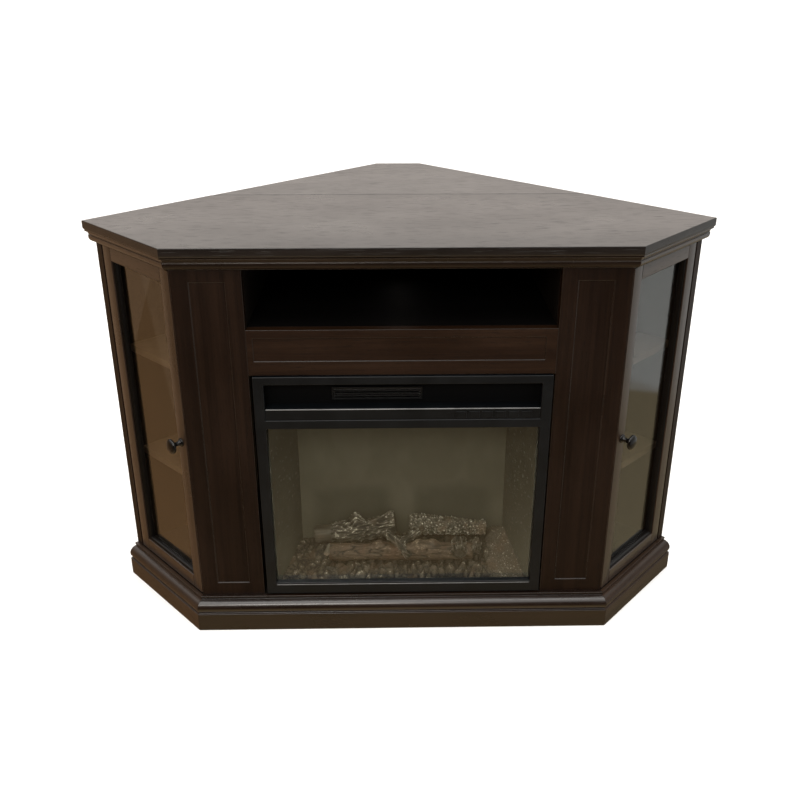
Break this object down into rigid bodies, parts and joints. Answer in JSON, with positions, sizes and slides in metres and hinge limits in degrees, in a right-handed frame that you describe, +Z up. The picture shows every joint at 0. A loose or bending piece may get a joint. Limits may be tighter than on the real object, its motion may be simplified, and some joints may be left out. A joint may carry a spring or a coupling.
{
  "type": "corner fireplace cabinet",
  "caption": "Corner media cabinet with an electric fireplace insert, two glass doors, an open bay and a fold-down rear leaf.",
  "frame": {"origin": "centre of the bounding box on the floor", "axes": "+X to the right seen from the front, +Y to the back (the front faces -Y), +Z up"},
  "size_m": [1.2192, 0.747, 0.819],
  "materials": {
    "cabinet_wood": "satin dark espresso stain over veneer",
    "top_wood": "satin dark espresso stain with open grain",
    "door_wood": "satin dark espresso stain",
    "inner_board": "matte dark board",
    "door_glass": "clear polished",
    "knob_bronze": "glossy oil rubbed bronze",
    "hinge_steel": "satin",
    "insert_black": "fine satin black powder coat",
    "insert_plastic": "satin black",
    "insert_glass": "smoked polished",
    "case_metal": "galvanised and dark painted sheet",
    "motor_steel": "satin",
    "fan_plastic": "matte",
    "circuit": "solder mask",
    "brick_liner": "matte with brick courses",
    "screen": "matte translucent",
    "ember": "rough moulded resin",
    "log_resin": "rough moulded resin"
  },
  "bodies": {
    "cabinet": {"crown_front": "cabinet_wood", "crown_left": "cabinet_wood", "crown_right": "cabinet_wood", "base_front": "cabinet_wood", "base_left": "cabinet_wood", "base_right": "cabinet_wood", "top_frame": "cabinet_wood", "pilaster_left": "cabinet_wood", "pilaster_right": "cabinet_wood", "fascia_rail": "cabinet_wood", "media_shelf": "cabinet_wood", "side_panel_left": "cabinet_wood", "side_panel_right": "cabinet_wood", "top_panel": "top_wood", "partition_left": "inner_board", "partition_right": "inner_board", "base_deck": "inner_board", "base_frame": "inner_board", "back_panel": "inner_board", "cabinet_shelf_left_lower": "inner_board", "cabinet_shelf_left_upper": "inner_board", "cabinet_shelf_right_lower": "inner_board", "cabinet_shelf_right_upper": "inner_board", "leaf_hinge_bracket": "hinge_steel", "pivot_left_lower": "hinge_steel", "pivot_left_upper": "hinge_steel", "pivot_right_lower": "hinge_steel", "pivot_right_upper": "hinge_steel", "firebox_bezel": "insert_black", "outlet_grille": "insert_black", "control_panel": "insert_plastic", "firebox_glass": "insert_glass", "firebox_case": "case_metal", "heater_duct": "case_metal", "blower_motor": "motor_steel", "rotor_motor": "motor_steel", "control_board": "circuit", "hearth_liner": "brick_liner", "flame_screen": "screen", "ember_bed": "ember", "log_left": "log_resin", "log_right": "log_resin"},
    "leaf": {"rear_leaf": "top_wood", "leaf_hinge_leaf": "hinge_steel"},
    "door_left": {"door_left_frame": "door_wood", "door_left_bead": "door_wood", "door_left_glass": "door_glass", "door_left_knob": "knob_bronze"},
    "door_right": {"door_right_frame": "door_wood", "door_right_bead": "door_wood", "door_right_glass": "door_glass", "door_right_knob": "knob_bronze"},
    "blower": {"blower_wheel": "fan_plastic"},
    "rotor": {"flame_rotor": "motor_steel"},
    "button_1": {"button_1": "insert_plastic"},
    "button_2": {"button_2": "insert_plastic"},
    "button_3": {"button_3": "insert_plastic"},
    "button_4": {"button_4": "insert_plastic"},
    "button_5": {"button_5": "insert_plastic"},
    "button_6": {"button_6": "insert_plastic"}
  },
  "joints": [
    {"name": "door_left_hinge", "type": "hinge", "parent": "cabinet", "child": "door_left", "pos_m": [-0.56201, -0.18215, 0.4235], "axis": [0, 0, -1], "range_deg": [0, 105]},
    {"name": "door_right_hinge", "type": "hinge", "parent": "cabinet", "child": "door_right", "pos_m": [0.56201, -0.18215, 0.4235], "axis": [0, 0, 1], "range_deg": [0, 105]},
    {"name": "rear_leaf_hinge", "type": "hinge", "parent": "cabinet", "child": "leaf", "pos_m": [0, 0.0305, 0.797], "axis": [-1, 0, 0], "range_deg": [0, 90]},
    {"name": "blower_spin", "type": "hinge", "parent": "cabinet", "child": "blower", "pos_m": [-0.0485, -0.2535, 0.522], "axis": [1, 0, 0], "continuous": true},
    {"name": "flame_rotor_spin", "type": "hinge", "parent": "cabinet", "child": "rotor", "pos_m": [0.0015, -0.1906, 0.14], "axis": [1, 0, 0], "continuous": true},
    {"name": "button_1_press", "type": "slide", "parent": "cabinet", "child": "button_1", "axis": [0, 1, 0], "range_m": [0, 0.001], "stiffness_N_per_m": 500, "springref_m": -0.001},
    {"name": "button_2_press", "type": "slide", "parent": "cabinet", "child": "button_2", "axis": [0, 1, 0], "range_m": [0, 0.001], "stiffness_N_per_m": 500, "springref_m": -0.001},
    {"name": "button_3_press", "type": "slide", "parent": "cabinet", "child": "button_3", "axis": [0, 1, 0], "range_m": [0, 0.001], "stiffness_N_per_m": 500, "springref_m": -0.001},
    {"name": "button_4_press", "type": "slide", "parent": "cabinet", "child": "button_4", "axis": [0, 1, 0], "range_m": [0, 0.001], "stiffness_N_per_m": 500, "springref_m": -0.001},
    {"name": "button_5_press", "type": "slide", "parent": "cabinet", "child": "button_5", "axis": [0, 1, 0], "range_m": [0, 0.001], "stiffness_N_per_m": 500, "springref_m": -0.001},
    {"name": "button_6_press", "type": "slide", "parent": "cabinet", "child": "button_6", "axis": [0, 1, 0], "range_m": [0, 0.001], "stiffness_N_per_m": 500, "springref_m": -0.001}
  ]
}
